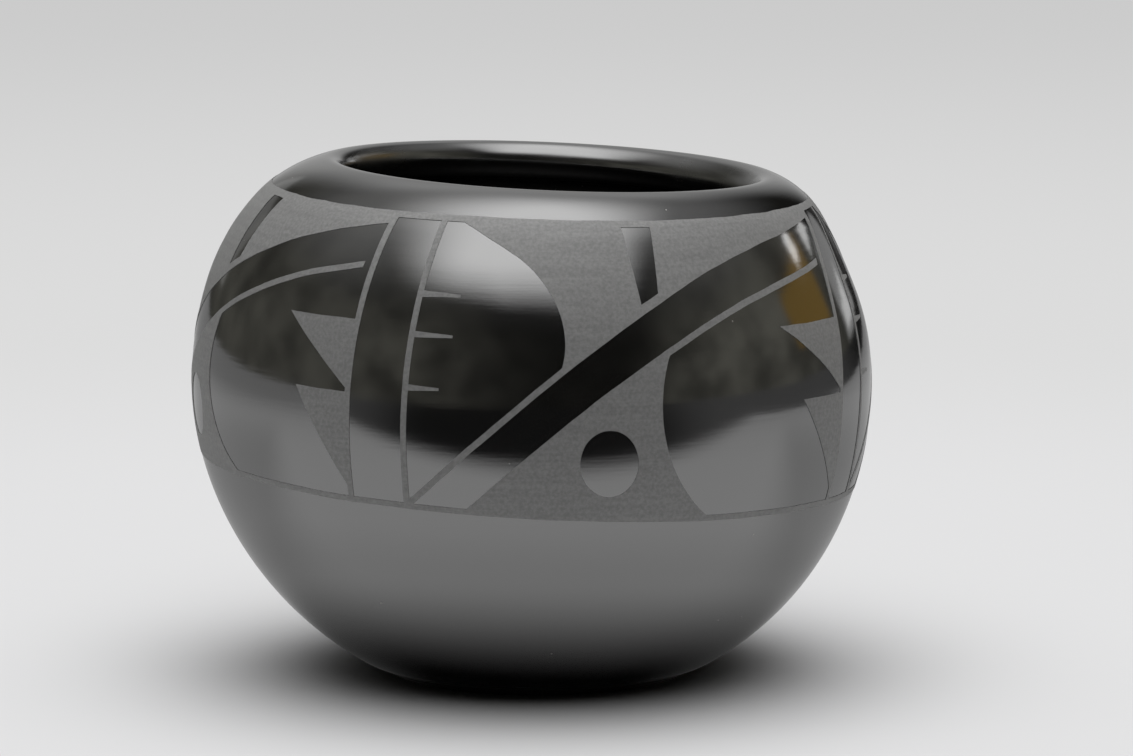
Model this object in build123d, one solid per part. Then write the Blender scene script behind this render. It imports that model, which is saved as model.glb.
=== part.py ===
from build123d import *
import math
import os

# A coil-built pueblo water jar, burnished and painted in matte slip. Lengths in millimetres, angles in degrees.
# The jar stands on the XY plane with its axis on Z, and the panel in view faces -Y.

# Form of the finished jar.
MAX_RADIUS = 80.0
BELLY_HEIGHT = 69.4
FOOT_RADIUS = 36.0
MOUTH_RADIUS = 51.8
JAR_HEIGHT = 119.6
SHOULDER_ARC = 25.7
LIP_LEAN = 74.0
WALL = 6.0
LIP = 9.2
FLOOR = 7.5
FOOT_ROUND = 5.0
FLOOR_ROUND = 30.0

# Clay courses: a base pressed in a mould bowl, then ropes of clay laid round and pinched up.
BASE_HEIGHT = 26.0
COURSES = 8
LAP_ANGLE = 35.0

# Burnished slip: a thin coat over the outside and the lip, a little way into the mouth.
COAT = 0.4
COAT_EDGE = 2.0
COAT_INSIDE = 24.0

# Matte slip painted on the burnish: a band between two border lines. The film clears the coat by its seat.
PAINT = 0.2
PAINT_SEAT = 0.03
RIM_ZONE = 5.3
BAND_DROP = 20.6
BORDER_LINE = 1.3
BRUSH_LINE = 1.4
PANELS = 4
PANEL_TURN = 14.0

# Toothed line at the left end of a panel. Teeth hang on its left side; heights are shares of the band.
TOOTH_HEIGHTS = ((0.640, 0.405), (0.390, 0.060))
TOOTH_REACH = (18.0, 14.0)

# Ticked line beside it, with short tapering strokes to the right.
TICK_PLACE = 0.114
TICK_HEIGHTS = (0.745, 0.610, 0.430)
TICK_REACH = (9.0, 9.0, 7.2)
TICK_TIP = 0.6

# Places in a panel are shares of its turn, from the left, and of the band's height, from below.
# Upper field: matte ground between the half leaf, the sloping bar and the top border. A stub of plain
# burnish hangs from the border; it and the leaf stand at shares of the length of the bar's top edge.
LEAF_TOP = (0.156, 1.0)
LEAF_SIDE = (0.402, 0.740)
LEAF_FOOT = 0.42
BAR_TOP_EDGE = ((0.114, 0.0), (0.461, 0.581), (1.0, 0.962))
STUB_TOP = (0.547, 0.619)
STUB_END = (0.628, 0.672)
STUB_GAP = 2.0

# Lower field: matte ground between the bar, the lobe and the bottom border, with a plain dot left open.
BAR_LOW_EDGE = ((0.216, 0.0), (0.604, 0.590), (0.980, 0.832))
LOBE_TOP = 0.60
LOBE_SIDE = (0.586, 0.405)
LOBE_FOOT = 0.703
DOT_PLACE = (0.488, 0.203)
DOT_HALF_WIDTH = 6.7
DOT_HALF_HEIGHT = 7.6


# The outside in section is three tangent arcs and a full round lip. The bowl arc passes through the foot and
# the belly; the wall arc joins the belly to the shoulder arc.
lip_round = LIP / 2
lip_centre = Vector(MOUTH_RADIUS, JAR_HEIGHT - lip_round)
lip_dir = Vector(math.cos(math.radians(LIP_LEAN)), math.sin(math.radians(LIP_LEAN)))
shoulder_centre = lip_centre - lip_dir * (SHOULDER_ARC - lip_round)
bowl_arc = ((MAX_RADIUS - FOOT_RADIUS) ** 2 + BELLY_HEIGHT**2) / (2 * (MAX_RADIUS - FOOT_RADIUS))
bowl_centre = Vector(MAX_RADIUS - bowl_arc, BELLY_HEIGHT)
inset = shoulder_centre.X - MAX_RADIUS
rise = shoulder_centre.Y - BELLY_HEIGHT
wall_arc = (SHOULDER_ARC**2 - inset**2 - rise**2) / (2 * (inset + SHOULDER_ARC))
wall_centre = Vector(MAX_RADIUS - wall_arc, BELLY_HEIGHT)
wall_turn = math.degrees(math.atan2(rise, inset + wall_arc))
OUTSIDE = (
    (bowl_centre, bowl_arc, -90.0, 0.0),
    (wall_centre, wall_arc, 0.0, wall_turn),
    (shoulder_centre, SHOULDER_ARC, wall_turn, LIP_LEAN),
)

# The inside follows it one wall away up to the shoulder. There it rolls out to the thicker lip in one arc,
# tangent to the inner wall and to the lip.
shoulder_dir = Vector(math.cos(math.radians(wall_turn)), math.sin(math.radians(wall_turn)))
roll_start = wall_centre + shoulder_dir * (wall_arc - WALL)
lip_to_start = roll_start - lip_centre
roll_arc = (lip_to_start.length**2 - lip_round**2) / (2 * (shoulder_dir.dot(lip_to_start) + lip_round))
roll_centre = roll_start - shoulder_dir * roll_arc
roll_dir = lip_centre - roll_centre
roll_turn = math.degrees(math.atan2(roll_dir.Y, roll_dir.X))
INSIDE = (
    (bowl_centre, bowl_arc - WALL, -90.0, 0.0),
    (wall_centre, wall_arc - WALL, 0.0, wall_turn),
    (roll_centre, roll_arc, wall_turn, roll_turn),
)


def turn_at(centre, radius, height):
    """Angle on an arc of the section at a height above the table."""
    share = (height - centre.Y) / radius
    return math.degrees(math.asin(max(-1.0, min(1.0, share))))


def wall_line(arcs, depth, low, high=None):
    """Edges of the outside or the inside at a depth under its arcs, from a height up to another or to the lip."""
    edges = []
    for centre, radius, first, last in arcs:
        start = max(first, turn_at(centre, radius - depth, low))
        end = last if high is None else min(last, turn_at(centre, radius - depth, high))
        if end - start > 1e-6:
            edges.append(CenterArc(centre, radius - depth, start, end - start))
    return edges


def over_lip(depth, low, inner_low):
    """Section line up the outside, over the lip and down the inside, at a depth under the finished face."""
    lip = CenterArc(lip_centre, lip_round - depth, LIP_LEAN, roll_turn + 180 - LIP_LEAN)
    return wall_line(OUTSIDE, depth, low) + [lip] + wall_line(INSIDE, -depth, inner_low)


def turned(face):
    return revolve(Plane.XZ * face, axis=Axis.Z)


# Clay body in section: foot, outside, lip, inside and floor, with the foot and the floor rounded.
clay_line = Wire(over_lip(COAT, 0, FLOOR))
foot_corner, floor_corner = sorted([clay_line @ 0, clay_line @ 1], key=lambda p: p.Y)
clay = make_face(
    clay_line.edges() + [Polyline(foot_corner, (0, 0), (0, FLOOR), floor_corner)]
)
clay = fillet(clay.vertices().sort_by_distance(foot_corner)[0], FOOT_ROUND)
clay = fillet(clay.vertices().sort_by_distance(floor_corner)[0], FLOOR_ROUND)


# Lap joints between courses: each new rope is pressed on the inside edge of the course below,
# so the joint runs down from the outside to the inside.
mid_arcs = [(centre, radius - WALL / 2, first, last) for centre, radius, first, last in OUTSIDE]
base_turn = turn_at(bowl_centre, mid_arcs[0][1], BASE_HEIGHT)
lengths = [
    mid_arcs[0][1] * math.radians(-base_turn),
    mid_arcs[1][1] * math.radians(wall_turn),
    mid_arcs[2][1] * math.radians(LIP_LEAN - wall_turn),
]
course_height = (sum(lengths) + lip_round) / COURSES


def joint(number):
    """Outer and inner end of a joint line, reaching one wall past the middle of the wall on each side."""
    run = number * course_height
    index = 0
    while index < 2 and run > lengths[index]:
        run -= lengths[index]
        index += 1
    centre, radius, first, _ = mid_arcs[index]
    angle = math.radians(base_turn if index == 0 else first) + run / radius
    normal = Vector(math.cos(angle), math.sin(angle))
    up = Vector(-math.sin(angle), math.cos(angle))
    reach = (normal + up * math.tan(math.radians(LAP_ANGLE))) * WALL
    middle = centre + normal * radius
    return middle + reach, middle - reach


def piece(*corners):
    return make_face(Polyline(*corners, close=True))


courses = {}
outer, inner = joint(0)
below = -FLOOR
courses["base_pat"] = clay & piece(
    outer, (MAX_RADIUS, outer.Y), (MAX_RADIUS, below), (-FLOOR, below), (-FLOOR, inner.Y), inner
)
for number in range(COURSES):
    low_outer, low_inner = joint(number)
    if number < COURSES - 1:
        high_outer, high_inner = joint(number + 1)
        courses[f"wall_coil_{number + 1}"] = clay & piece(low_outer, high_outer, high_inner, low_inner)
    else:
        top = JAR_HEIGHT + LIP
        mouth = MOUTH_RADIUS - LIP
        courses["rim_coil"] = clay & piece(
            low_outer, (MAX_RADIUS, top), (mouth, top), (mouth, low_inner.Y), low_inner
        )

nodes = {name: turned(face) for name, face in courses.items()}


# Burnished coat: the same section line at the surface and at the coat's depth.
coat_inner_edge = JAR_HEIGHT - COAT_INSIDE
coat_face = Wire(over_lip(0, COAT_EDGE, coat_inner_edge))
coat_back = Wire(over_lip(COAT, COAT_EDGE, coat_inner_edge))
face_ends = sorted([coat_face @ 0, coat_face @ 1], key=lambda p: p.Y)
back_ends = sorted([coat_back @ 0, coat_back @ 1], key=lambda p: p.Y)
coat_rims = [Line(a, b) for a, b in zip(face_ends, back_ends)]
nodes["burnished_coat"] = turned(make_face(coat_face.edges() + coat_back.edges() + coat_rims))


# Painted band: a skin on the coat, cut by stencils that are held square to the wall.
band_top = JAR_HEIGHT - RIM_ZONE
band_bottom = BELLY_HEIGHT - BAND_DROP
panel_angle = 360.0 / PANELS


def skin(low, high):
    """Ring of matte slip on the outside between two heights."""
    face_line = Wire(wall_line(OUTSIDE, -PAINT_SEAT - PAINT, low, high))
    back_line = Wire(wall_line(OUTSIDE, -PAINT_SEAT, low, high))
    ends = [Line(face_line @ 0, back_line @ 0), Line(face_line @ 1, back_line @ 1)]
    return turned(make_face(face_line.edges() + back_line.edges() + ends))


nodes["top_border"] = skin(band_top - BORDER_LINE, band_top)
nodes["bottom_border"] = skin(band_bottom, band_bottom + BORDER_LINE)
field = skin(band_bottom + BORDER_LINE, band_top - BORDER_LINE)
low_edge = band_bottom - BORDER_LINE
high_edge = band_top + BORDER_LINE


def band_height(share):
    return band_bottom + share * (band_top - band_bottom)


def wall_radius(height):
    """Finished outer radius at a height."""
    for centre, radius, first, last in OUTSIDE:
        angle = turn_at(centre, radius, height)
        if angle <= last or centre is shoulder_centre:
            return centre.X + radius * math.cos(math.radians(angle))


def spot(across, up):
    """Point of a panel in its stencil: a share of the panel's turn and of the band's height."""
    height = band_height(up)
    angle = math.radians((across - 0.5) * panel_angle)
    return Vector(wall_radius(height) * math.sin(angle), height)


def stencil_block(stencil):
    """A stencil facing -Y as a block that reaches through the wall."""
    return extrude(Plane.XZ * stencil, amount=MAX_RADIUS + WALL)


def painted(stencil):
    """Strokes left on the wall by a stencil that faces -Y."""
    return field & stencil_block(stencil)


# Toothed line: an upright brush line with a tooth on its left for each height.
half_line = BRUSH_LINE / 2
upright = piece((-half_line, low_edge), (half_line, low_edge), (half_line, high_edge), (-half_line, high_edge))
toothed = upright
for (top_share, tip_share), reach in zip(TOOTH_HEIGHTS, TOOTH_REACH):
    tooth_top = band_height(top_share)
    tooth_tip = band_height(tip_share)
    toothed += piece((0, tooth_top), (-half_line - reach, tooth_top), (-half_line, tooth_tip), (0, tooth_tip))
toothed_line = painted(toothed)

# Ticked line: the same upright line with tapering ticks on its right.
ticked = upright
for share, reach in zip(TICK_HEIGHTS, TICK_REACH):
    height = band_height(share)
    tip = half_line + reach
    ticked += piece(
        (0, height - half_line),
        (half_line, height - half_line),
        (tip, height - TICK_TIP / 2),
        (tip, height + TICK_TIP / 2),
        (half_line, height + half_line),
        (0, height + half_line),
    )
ticked_line = painted(ticked)


def beside(edge, point, step):
    """Point moved outward from an arc's centre, so that a row of them runs beside the arc."""
    centre = edge.arc_center
    return point + (point - centre).normalized() * step


# Upper field. The bar's top edge is one arc from the foot of the ticked line to the next toothed line;
# a brush line runs along it to the foot of the half leaf, where the ground opens out.
bar_top = ThreePointArc(*[spot(*place) for place in BAR_TOP_EDGE])
leaf_foot = beside(bar_top, bar_top @ LEAF_FOOT, BRUSH_LINE)
tail_middle = beside(bar_top, bar_top @ (LEAF_FOOT / 2), BRUSH_LINE)
tail_end = beside(bar_top, bar_top @ 0, BRUSH_LINE)
leaf_top = spot(*LEAF_TOP)
roof = high_edge + BORDER_LINE
upper = make_face(
    [
        bar_top,
        Polyline(bar_top @ 1, (bar_top.end_point().X, roof), (leaf_top.X, roof), leaf_top),
        ThreePointArc(leaf_top, spot(*LEAF_SIDE), leaf_foot),
        ThreePointArc(leaf_foot, tail_middle, tail_end),
        Line(tail_end, bar_top @ 0),
    ]
)
stub_left, stub_right = [spot(place, 1.0) for place in STUB_TOP]
end_left, end_right = [beside(bar_top, bar_top @ share, STUB_GAP) for share in STUB_END]
upper -= piece((stub_left.X, roof), stub_left, end_left, end_right, stub_right, (stub_right.X, roof))

# The field stops at the right side of the ticked line and at the left side of the next toothed line,
# so both ends are straight cuts through the block.
line_turn = -panel_angle / 2
tick_turn = (TICK_PLACE - 0.5) * panel_angle
left_of_ticks = piece((-MAX_RADIUS, low_edge), (half_line, low_edge), (half_line, roof), (-MAX_RADIUS, roof))
past_next = piece((-half_line, low_edge), (MAX_RADIUS, low_edge), (MAX_RADIUS, roof), (-half_line, roof))
leaf_block = stencil_block(upper) - Rot(0, 0, tick_turn) * stencil_block(left_of_ticks)
leaf_block -= Rot(0, 0, line_turn + panel_angle) * stencil_block(past_next)
leaf_field = field & leaf_block

# Lower field. The bar's low edge runs on as a brush line over the lobe to a free end.
bar_low = ThreePointArc(*[spot(*place) for place in BAR_LOW_EDGE])
line_end = beside(bar_low, bar_low @ 1, -BRUSH_LINE)
line_middle = beside(bar_low, bar_low @ ((1 + LOBE_TOP) / 2), -BRUSH_LINE)
lobe_top = beside(bar_low, bar_low @ LOBE_TOP, -BRUSH_LINE)
lobe_foot = spot(LOBE_FOOT, 0.0)
lower = make_face(
    [
        bar_low,
        Line(bar_low @ 1, line_end),
        ThreePointArc(line_end, line_middle, lobe_top),
        ThreePointArc(lobe_top, spot(*LOBE_SIDE), lobe_foot),
        Line(lobe_foot, bar_low @ 0),
    ]
)
dot = Pos(*spot(*DOT_PLACE)) * Ellipse(DOT_HALF_WIDTH, DOT_HALF_HEIGHT)
dot_field = painted(lower - dot)

for number in range(PANELS):
    turn = PANEL_TURN + number * panel_angle
    nodes[f"toothed_line_{number + 1}"] = Rot(0, 0, turn + line_turn) * toothed_line
    nodes[f"ticked_line_{number + 1}"] = Rot(0, 0, turn + tick_turn) * ticked_line
    nodes[f"leaf_field_{number + 1}"] = Rot(0, 0, turn) * leaf_field
    nodes[f"dot_field_{number + 1}"] = Rot(0, 0, turn) * dot_field

os.makedirs("parts", exist_ok=True)
for name, shape in nodes.items():
    export_step(shape, f"parts/{name}.step")
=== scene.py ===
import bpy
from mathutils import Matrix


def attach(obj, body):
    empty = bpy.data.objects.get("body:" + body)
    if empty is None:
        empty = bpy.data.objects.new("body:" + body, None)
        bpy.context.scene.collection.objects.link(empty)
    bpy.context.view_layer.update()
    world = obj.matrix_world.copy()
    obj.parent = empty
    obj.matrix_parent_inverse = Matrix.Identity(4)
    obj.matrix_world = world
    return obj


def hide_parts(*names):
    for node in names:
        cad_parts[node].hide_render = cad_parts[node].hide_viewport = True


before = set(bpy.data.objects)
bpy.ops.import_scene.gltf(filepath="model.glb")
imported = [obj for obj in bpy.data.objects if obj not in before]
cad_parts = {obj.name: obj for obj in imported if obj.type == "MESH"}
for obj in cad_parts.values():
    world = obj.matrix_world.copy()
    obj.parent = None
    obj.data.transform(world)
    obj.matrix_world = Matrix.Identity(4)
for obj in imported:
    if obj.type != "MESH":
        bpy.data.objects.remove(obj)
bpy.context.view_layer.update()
import math
import bpy
from mathutils import Vector
from mathutils.geometry import delaunay_2d_cdt

# Base pat: a round of clay pressed into a mould bowl, the floor and low wall of the jar. It is fired clay, smoked
# black right through; its foot is rubbed flat, and its inside is wiped smooth with wet fingers.
MM = 0.001
MAX_RADIUS = 80.0
BELLY_HEIGHT = 69.4
FOOT_RADIUS = 36.0
MOUTH_RADIUS = 51.8
JAR_HEIGHT = 119.6
SHOULDER_ARC = 25.7
LIP_LEAN = math.radians(74.0)
WALL = 6.0
LIP = 9.2
FLOOR = 7.5
FOOT_ROUND = 5.0
FLOOR_ROUND = 30.0
COAT = 0.4
BASE_HEIGHT = 26.0
COURSES = 8
LAP_ANGLE = math.radians(35.0)
LAP_SEARCH = math.radians(40.0)
LAP_HALVINGS = 40
TURN_SLACK = 1e-9
CLAY_STEP = math.radians(3.0)
CLAY_SEGMENTS = 224
RAIL_RADIUS = 60.0
RING_WELD = 1e-7
FLAT_RINGS = 8
SHARP_ANGLE = math.radians(40.0)

# The hand-made form: the rim dips and leans to the right, the foot stands a little to the right, and the wall wavers.
RIM_DIP = 0.044
RIM_SHIFT = 4.3
RIM_SHIFT_START = 92.0
FOOT_SHIFT = 1.5
WALL_WAVER = 0.30
WAVER_SCALE = 16.0
FINGER_MARKS = 0.45
FINGER_SCALE = 75.0

# In section the outside is three tangent arcs and a full round lip. The inside follows it one wall away up to the
# shoulder, and there rolls out to the thicker lip in one arc.
lip_round = LIP / 2
lip_centre = Vector((MOUTH_RADIUS, JAR_HEIGHT - lip_round))
lip_way = Vector((math.cos(LIP_LEAN), math.sin(LIP_LEAN)))
shoulder_centre = lip_centre - lip_way * (SHOULDER_ARC - lip_round)
bowl_arc = ((MAX_RADIUS - FOOT_RADIUS) ** 2 + BELLY_HEIGHT**2) / (2 * (MAX_RADIUS - FOOT_RADIUS))
inset = shoulder_centre.x - MAX_RADIUS
rise = shoulder_centre.y - BELLY_HEIGHT
wall_arc = (SHOULDER_ARC**2 - inset**2 - rise**2) / (2 * (inset + SHOULDER_ARC))
wall_turn = math.atan2(rise, inset + wall_arc)
bowl_centre = Vector((MAX_RADIUS - bowl_arc, BELLY_HEIGHT))
wall_centre = Vector((MAX_RADIUS - wall_arc, BELLY_HEIGHT))
shoulder_way = Vector((math.cos(wall_turn), math.sin(wall_turn)))
roll_start = wall_centre + shoulder_way * (wall_arc - WALL)
lip_to_start = roll_start - lip_centre
roll_arc = (lip_to_start.length_squared - lip_round**2) / (2 * (shoulder_way.dot(lip_to_start) + lip_round))
roll_centre = roll_start - shoulder_way * roll_arc
roll_way = lip_centre - roll_centre
roll_turn = math.atan2(roll_way.y, roll_way.x)
lip_end = roll_turn + math.pi
OUTSIDE = (
    (bowl_centre, bowl_arc, 0.0),
    (wall_centre, wall_arc, wall_turn),
    (shoulder_centre, SHOULDER_ARC, LIP_LEAN),
    (lip_centre, lip_round, lip_end),
)
INSIDE = (
    (bowl_centre, bowl_arc - WALL, 0.0),
    (wall_centre, wall_arc - WALL, wall_turn),
    (roll_centre, roll_arc, roll_turn),
)


def wall_point(arcs, turn, grown):
    """Radius and height in section where the outside or the inside faces up by a turn, its arcs grown by a length."""
    centre, radius, _ = next(arc for arc in arcs if turn <= arc[2] + TURN_SLACK)
    return centre + Vector((math.cos(turn), math.sin(turn))) * (radius + grown)


def even_turns(first, last, step):
    """Turns from the first to the last in even steps."""
    count = max(1, round(abs(last - first) / step))
    return [first + (last - first) * i / count for i in range(count + 1)]


def wall_line(arcs, first, last, grown, step):
    """Points of the section between two turns, with the arcs grown by a length."""
    return [wall_point(arcs, turn, grown) for turn in even_turns(first, last, step)]


def corner_round(arcs, level, grown, radius):
    """Points of the round between the bowl and a level plane, and the turn where it leaves the bowl."""
    reach = arcs[0][1] + grown - radius
    turn = math.asin((level + radius - BELLY_HEIGHT) / reach)
    centre = bowl_centre + Vector((math.cos(turn), math.sin(turn))) * reach
    turns = even_turns(-math.pi / 2, turn, CLAY_STEP)
    return [centre + Vector((math.cos(t), math.sin(t))) * radius for t in turns], turn


middle_arcs = [(centre, radius - WALL / 2, last) for centre, radius, last in OUTSIDE[:3]]
base_turn = math.asin((BASE_HEIGHT - BELLY_HEIGHT) / middle_arcs[0][1])
wall_length = lip_round
arc_start = base_turn
for _, radius, last in middle_arcs:
    wall_length += (last - arc_start) * radius
    arc_start = last
course_height = wall_length / COURSES


def lap_turn(number, arcs, grown):
    """Turn where the lap joint under a course meets the outside or inside: it runs down from the outside inward."""
    run = number * course_height
    turn = base_turn
    for centre, radius, last in middle_arcs:
        if run <= (last - turn) * radius:
            break
        run -= (last - turn) * radius
        turn = last
    turn += run / radius
    way = Vector((math.cos(turn), math.sin(turn)))
    joint = way + Vector((-way.y, way.x)) * math.tan(LAP_ANGLE)
    low, high = turn - LAP_SEARCH, turn + LAP_SEARCH
    for _ in range(LAP_HALVINGS):
        half = (low + high) / 2
        if joint.cross(wall_point(arcs, half, grown) - centre - way * radius) > 0:
            high = half
        else:
            low = half
    return half


def add_node(tree, kind, feeds=None, **settings):
    """A node of a tree with its settings, each input fed by a socket or set to a value."""
    node = tree.nodes.new(kind)
    for name, value in settings.items():
        setattr(node, name, value)
    for socket, feed in (feeds or {}).items():
        if isinstance(feed, bpy.types.NodeSocket):
            tree.links.new(feed, node.inputs[socket])
        else:
            node.inputs[socket].default_value = feed
    return node


def calc(tree, operation, *values):
    """Output of a maths node that works on numbers or sockets."""
    return add_node(tree, "ShaderNodeMath", dict(enumerate(values)), operation=operation).outputs[0]


def weighted(tree, first, much, second, rest):
    """Sum of two values, each by its weight."""
    return calc(tree, "MULTIPLY_ADD", first, much, calc(tree, "MULTIPLY", second, rest))


def vector_calc(tree, operation, *values):
    """Output of a maths node that works on vectors."""
    return add_node(tree, "ShaderNodeVectorMath", dict(enumerate(values)), operation=operation).outputs[0]


def ease(tree, value, low, high, first=0.0, last=1.0):
    """Smooth step of a value from one number to another between two limits."""
    feeds = {"Value": value, "From Min": low, "From Max": high, "To Min": first, "To Max": last}
    return add_node(tree, "ShaderNodeMapRange", feeds, interpolation_type="SMOOTHSTEP").outputs["Result"]


def noise(tree, vector, scale, detail=2.0, roughness=0.5):
    """Soft random pattern with so many swells in a metre."""
    feeds = {"Vector": vector, "Scale": scale, "Detail": detail, "Roughness": roughness}
    return add_node(tree, "ShaderNodeTexNoise", feeds)


def new_tree(name, kind, inputs, outputs):
    """Empty node group with named sockets, and the sockets that its nodes read and feed."""
    tree = bpy.data.node_groups.new(name, kind)
    for way, sockets in (("INPUT", inputs), ("OUTPUT", outputs)):
        for socket, socket_kind in sockets.items():
            tree.interface.new_socket(name=socket, in_out=way, socket_type="NodeSocket" + socket_kind)
    return tree, tree.nodes.new("NodeGroupInput").outputs, tree.nodes.new("NodeGroupOutput").inputs


turned, feed, out = new_tree(
    "turned_by_hand",
    "GeometryNodeTree",
    {
        "Section": "Geometry",
        "Segments": "Int",
        "Rail radius": "Float",
        "Belly height": "Float",
        "Rim height": "Float",
        "Rim dip": "Float",
        "Rim shift": "Float",
        "Rim shift start": "Float",
        "Foot shift": "Float",
        "Waver": "Float",
        "Finger marks": "Float",
        "Material": "Material",
    },
    {"Geometry": "Geometry"},
)
profile = add_node(turned, "GeometryNodeMeshToCurve", {"Mesh": feed["Section"]}).outputs[0]
rail = add_node(
    turned, "GeometryNodeCurvePrimitiveCircle", {"Resolution": feed["Segments"], "Radius": feed["Rail radius"]}
).outputs["Curve"]
ring = add_node(turned, "GeometryNodeCurveToMesh", {"Curve": rail, "Profile Curve": profile}).outputs[0]
ring = add_node(turned, "GeometryNodeMergeByDistance", {"Geometry": ring, "Distance": RING_WELD}).outputs[0]
place = add_node(turned, "GeometryNodeInputPosition").outputs[0]
x, _, z = add_node(turned, "ShaderNodeSeparateXYZ", {0: place}).outputs
radial = vector_calc(turned, "NORMALIZE", vector_calc(turned, "MULTIPLY", place, (1, 1, 0)))
swell = calc(turned, "SUBTRACT", noise(turned, place, WAVER_SCALE, 1.0).outputs[0], 0.5)
swell = calc(turned, "MULTIPLY", swell, feed["Waver"])
mark = calc(turned, "MULTIPLY", noise(turned, place, FINGER_SCALE).outputs[0], feed["Finger marks"])
inner = add_node(turned, "GeometryNodeInputNamedAttribute", {"Name": "inside"}, data_type="FLOAT").outputs[0]
swell = calc(turned, "MULTIPLY_ADD", calc(turned, "MULTIPLY", mark, inner), -1.0, swell)
dip = calc(turned, "MULTIPLY", x, ease(turned, z, feed["Belly height"], feed["Rim height"]))
dip = calc(turned, "MULTIPLY", calc(turned, "MULTIPLY", dip, feed["Rim dip"]), -1.0)
shift = calc(turned, "MULTIPLY", ease(turned, z, 0.0, feed["Belly height"], 1.0, 0.0), feed["Foot shift"])
lean = add_node(
    turned, "ShaderNodeMapRange", {"Value": z, "From Min": feed["Rim shift start"], "From Max": feed["Rim height"]}
).outputs[0]
shift = calc(turned, "MULTIPLY_ADD", calc(turned, "POWER", lean, 2.0), feed["Rim shift"], shift)
move = add_node(turned, "ShaderNodeCombineXYZ", {"X": shift, "Z": dip}).outputs[0]
move = vector_calc(turned, "MULTIPLY_ADD", radial, swell, move)
ring = add_node(turned, "GeometryNodeSetPosition", {"Geometry": ring, "Offset": move}).outputs[0]
ring = add_node(turned, "GeometryNodeRealizeInstances", {"Geometry": ring}).outputs[0]
ring = add_node(turned, "GeometryNodeSetMaterial", {"Geometry": ring, "Material": feed["Material"]}).outputs[0]
turned.links.new(ring, out["Geometry"])


def made_piece(name, host, tree, sizes, film=None):
    """Piece that a tree makes from a host mesh, as a plain mesh; a film gives a laid sheet its thickness."""
    piece = bpy.data.objects.new(name, host)
    bpy.context.scene.collection.objects.link(piece)
    grown = piece.modifiers.new(tree.name, "NODES")
    grown.node_group = tree
    for socket in tree.interface.items_tree:
        if socket.in_out == "INPUT" and socket.name in sizes:
            grown[socket.identifier] = sizes[socket.name]
    if film:
        sheet = piece.modifiers.new("film", "SOLIDIFY")
        sheet.thickness = film
        sheet.offset = 1.0
    shown = piece.evaluated_get(bpy.context.evaluated_depsgraph_get())
    mesh = bpy.data.meshes.new_from_object(shown)
    mesh.name = name
    mesh.shade_smooth()
    mesh.set_sharp_from_angle(angle=SHARP_ANGLE)
    piece.modifiers.clear()
    piece.data = mesh
    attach(piece, "root")
    return piece


def turned_piece(name, section, marks, mark_name, closed, segments, material):
    """Ring turned from a section of radius and height, drawn up the outside and down the inside."""
    host = bpy.data.meshes.new(name + "_section")
    points = [((p.x - RAIL_RADIUS) * MM, -p.y * MM, 0.0) for p in reversed(section)]
    links = [(i, i + 1) for i in range(len(points) - 1)]
    if closed:
        links.append((len(points) - 1, 0))
    host.from_pydata(points, links, [])
    host.attributes.new(mark_name, "FLOAT", "POINT").data.foreach_set("value", marks[::-1])
    sizes = {
        "Segments": segments,
        "Rail radius": RAIL_RADIUS * MM,
        "Belly height": BELLY_HEIGHT * MM,
        "Rim height": JAR_HEIGHT * MM,
        "Rim dip": RIM_DIP,
        "Rim shift": RIM_SHIFT * MM,
        "Rim shift start": RIM_SHIFT_START * MM,
        "Foot shift": FOOT_SHIFT * MM,
        "Waver": WALL_WAVER * MM,
        "Finger marks": FINGER_MARKS * MM,
        "Material": material,
    }
    return made_piece(name, host, turned, sizes)


# Surface detail that all three finishes share: broad fire clouds, fine grain, strokes drawn round the jar and, on the
# burnish, a few pale specks.
CLOUD_SCALE = 34.0
STROKE_STRETCH = (1.0, 1.0, 22.0)
SPECK_SCALE = 210.0
SPECK_MISSING = 0.87
SPECK_SIZE = (0.03, 0.06)
surface, feed, out = new_tree(
    "fired_surface",
    "ShaderNodeTree",
    {"Vector": "Vector", "Grain": "Float", "Stroke": "Float"},
    {"Cloud": "Float", "Grain": "Float", "Stroke": "Float", "Speck": "Float"},
)
surface.links.new(noise(surface, feed["Vector"], CLOUD_SCALE, 3.0, 0.55).outputs[0], out["Cloud"])
surface.links.new(noise(surface, feed["Vector"], feed["Grain"], 3.0, 0.6).outputs[0], out["Grain"])
drawn = vector_calc(surface, "MULTIPLY", feed["Vector"], STROKE_STRETCH)
surface.links.new(noise(surface, drawn, feed["Stroke"], 3.0, 0.6).outputs[0], out["Stroke"])
cell = add_node(surface, "ShaderNodeTexVoronoi", {"Vector": feed["Vector"], "Scale": SPECK_SCALE})
few = add_node(surface, "ShaderNodeTexWhiteNoise", {"Vector": cell.outputs["Position"]}, noise_dimensions="3D")
few = calc(surface, "GREATER_THAN", few.outputs["Value"], SPECK_MISSING)
spot_size = ease(surface, cell.outputs["Distance"], *SPECK_SIZE, 1.0, 0.0)
surface.links.new(calc(surface, "MULTIPLY", spot_size, few), out["Speck"])


def new_finish(name, grain, stroke, **constants):
    """Material with one Principled shader, its constant numbers, and the shared surface detail."""
    finish = bpy.data.materials.new(name)
    finish.use_nodes = True
    tree = finish.node_tree
    shader = tree.nodes["Principled BSDF"]
    for socket, value in constants.items():
        shader.inputs[socket.replace("_", " ")].default_value = value
    where = add_node(tree, "ShaderNodeTexCoord").outputs["Object"]
    detail = add_node(tree, "ShaderNodeGroup", node_tree=surface)
    tree.links.new(where, detail.inputs["Vector"])
    detail.inputs["Grain"].default_value = grain
    detail.inputs["Stroke"].default_value = stroke
    return finish, tree, shader, detail.outputs


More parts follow.
